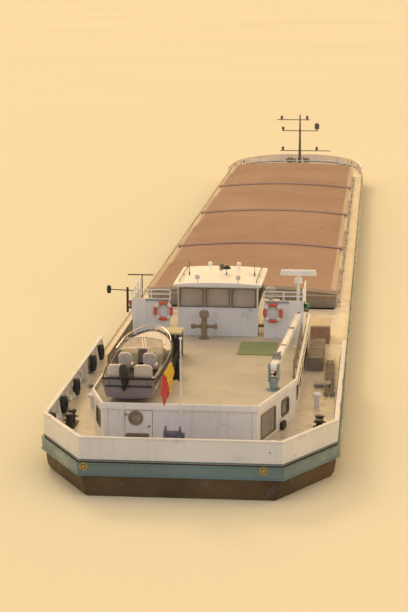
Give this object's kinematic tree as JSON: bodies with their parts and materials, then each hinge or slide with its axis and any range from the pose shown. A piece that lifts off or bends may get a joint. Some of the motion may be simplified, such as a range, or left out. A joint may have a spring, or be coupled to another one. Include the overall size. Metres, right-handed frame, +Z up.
{
  "type": "1:10 scale model of a river cargo barge",
  "caption": "Scale model of a motor river barge: flat bottomed hull with one hold under arched sliding hatch covers, aft house, wheelhouse, roof crane and ship's boat.",
  "frame": {"origin": "on the flat bottom, half way along the hull and on its middle line", "axes": "+Y towards the bow, +X to starboard, +Z up"},
  "size_m": [0.95, 8, 0.68],
  "materials": {
    "hull_paint": "weathered satin black bottom paint",
    "blue_paint": "satin",
    "white_paint": "satin, slightly stained",
    "coaming_paint": "matt",
    "hatch_paint": "faded matt red brown",
    "roof_paint": "matt deck paint",
    "grey_paint": "satin",
    "black_paint": "satin",
    "mast_paint": "satin",
    "bronze": "polished",
    "engine_iron": "painted casting",
    "window_glass": "clear",
    "seat_leather": "worn",
    "mat_fabric": "short pile",
    "white_plastic": "gloss",
    "bright_steel": "ground",
    "boat_plastic": "gloss",
    "flag_fabric": "woven",
    "lifebuoy_plastic": "matt"
  },
  "bodies": {
    "hull": {"hull_aft": "hull_paint", "hull_hold": "hull_paint", "hull_bow": "hull_paint", "rubbing_strake": "blue_paint", "bulwark_aft": "white_paint", "bulwark_bow": "white_paint", "hatch_coaming": "coaming_paint", "nozzle": "hull_paint", "engine_block": "engine_iron", "engine_trunk": "roof_paint", "aft_house_walls": "white_paint", "aft_house_roof": "roof_paint", "wheelhouse_walls": "white_paint", "wheelhouse_glass": "window_glass", "wheelhouse_roof": "white_paint", "helm_console": "grey_paint", "helm_chair": "seat_leather", "wing_screen_port": "white_paint", "wing_screen_starboard": "white_paint", "roof_ventilator": "black_paint", "roof_mat": "mat_fabric", "radar_post": "white_paint", "crane_pillar": "blue_paint", "boom_rest": "white_paint", "ships_boat": "boat_plastic", "boat_chocks": "grey_paint", "flagstaff": "white_paint", "ensign": "flag_fabric", "bollard_aft_port": "black_paint", "bollard_aft_starboard": "black_paint", "bollard_bow_port": "black_paint", "bollard_bow_starboard": "black_paint", "lifebuoy_port": "lifebuoy_plastic", "lifebuoy_starboard": "lifebuoy_plastic", "windlass": "grey_paint", "mast_foot": "white_paint", "roof_railing_port": "grey_paint", "roof_railing_starboard": "grey_paint", "roof_locker": "black_paint", "deck_box": "blue_paint", "deck_locker": "hatch_paint"},
    "cover_1": {"hatch_cover_1": "hatch_paint"},
    "cover_2": {"hatch_cover_2": "hatch_paint"},
    "cover_3": {"hatch_cover_3": "hatch_paint"},
    "cover_4": {"hatch_cover_4": "hatch_paint"},
    "cover_5": {"hatch_cover_5": "hatch_paint"},
    "cover_6": {"hatch_cover_6": "hatch_paint"},
    "cover_7": {"hatch_cover_7": "hatch_paint"},
    "cover_8": {"hatch_cover_8": "hatch_paint"},
    "propeller": {"propeller": "bronze"},
    "rudder_port": {"rudder_port": "hull_paint"},
    "rudder_starboard": {"rudder_starboard": "hull_paint"},
    "house_door": {"aft_house_door": "white_paint"},
    "wheelhouse_door": {"wheelhouse_door": "white_paint"},
    "radar_scanner": {"radar_scanner": "white_plastic"},
    "crane_turret": {"crane_turret": "blue_paint"},
    "crane_boom": {"crane_boom": "white_paint"},
    "luff_barrel": {"luff_barrel": "black_paint"},
    "luff_rod": {"luff_rod": "bright_steel"},
    "bow_mast": {"bow_mast": "mast_paint"}
  },
  "joints": [
    {"name": "cover_1_slide", "type": "slide", "parent": "hull", "child": "cover_1", "axis": [0, 1, 0], "range_m": [0, 0.573]},
    {"name": "cover_2_slide", "type": "slide", "parent": "hull", "child": "cover_2", "axis": [0, 1, 0], "range_m": [-0.573, 0]},
    {"name": "cover_3_slide", "type": "slide", "parent": "hull", "child": "cover_3", "axis": [0, 1, 0], "range_m": [0, 0.573]},
    {"name": "cover_4_slide", "type": "slide", "parent": "hull", "child": "cover_4", "axis": [0, 1, 0], "range_m": [-0.573, 0]},
    {"name": "cover_5_slide", "type": "slide", "parent": "hull", "child": "cover_5", "axis": [0, 1, 0], "range_m": [0, 0.573]},
    {"name": "cover_6_slide", "type": "slide", "parent": "hull", "child": "cover_6", "axis": [0, 1, 0], "range_m": [-0.573, 0]},
    {"name": "cover_7_slide", "type": "slide", "parent": "hull", "child": "cover_7", "axis": [0, 1, 0], "range_m": [0, 0.573]},
    {"name": "cover_8_slide", "type": "slide", "parent": "hull", "child": "cover_8", "axis": [0, 1, 0], "range_m": [-0.573, 0]},
    {"name": "propeller_turn", "type": "hinge", "parent": "hull", "child": "propeller", "pos_m": [0, -3.45, 0.092], "axis": [0, 1, 0], "continuous": true},
    {"name": "rudder_port_turn", "type": "hinge", "parent": "hull", "child": "rudder_port", "pos_m": [-0.04, -3.585, 0.1], "axis": [0, 0, 1], "range_deg": [-50, 50]},
    {"name": "rudder_starboard_turn", "type": "hinge", "parent": "hull", "child": "rudder_starboard", "pos_m": [0.04, -3.585, 0.1], "axis": [0, 0, 1], "range_deg": [-50, 50]},
    {"name": "house_door_swing", "type": "hinge", "parent": "hull", "child": "house_door", "pos_m": [-0.195, -3.8035, 0.35], "axis": [0, 0, 1], "range_deg": [-100, 0]},
    {"name": "wheelhouse_door_swing", "type": "hinge", "parent": "hull", "child": "wheelhouse_door", "pos_m": [0.1495, -2.64, 0.5], "axis": [0, 0, 1], "range_deg": [0, 110]},
    {"name": "radar_turn", "type": "hinge", "parent": "hull", "child": "radar_scanner", "pos_m": [0.29, -2.61, 0.634], "axis": [0, 0, 1], "continuous": true},
    {"name": "crane_slew", "type": "hinge", "parent": "hull", "child": "crane_turret", "pos_m": [0.255, -3.54, 0.45], "axis": [0, 0, 1], "range_deg": [-180, 0]},
    {"name": "boom_luff", "type": "hinge", "parent": "crane_turret", "child": "crane_boom", "pos_m": [0.255, -3.54, 0.498], "axis": [0.9976, -0.0698, 0], "range_deg": [0, 70]},
    {"name": "luff_barrel_pivot", "type": "hinge", "parent": "crane_turret", "child": "luff_barrel", "pos_m": [0.25681, -3.51406, 0.468], "axis": [0.9976, -0.0698, 0], "range_deg": [0, 70]},
    {"name": "luff_rod_slide", "type": "slide", "parent": "luff_barrel", "child": "luff_rod", "axis": [0.0688, 0.9832, 0.1689], "range_m": [0, 0.046]},
    {"name": "bow_mast_fold", "type": "hinge", "parent": "hull", "child": "bow_mast", "pos_m": [0.02, 3.59, 0.35], "axis": [1, 0, 0], "range_deg": [0, 85]}
  ],
  "couplings": [
    {"joint": "rudder_starboard_turn", "follows": "rudder_port_turn", "ratio": 1},
    {"joint": "luff_barrel_pivot", "follows": "boom_luff", "ratio": 0.9856},
    {"joint": "luff_rod_slide", "follows": "boom_luff", "m_per_rad": 0.037215}
  ]
}
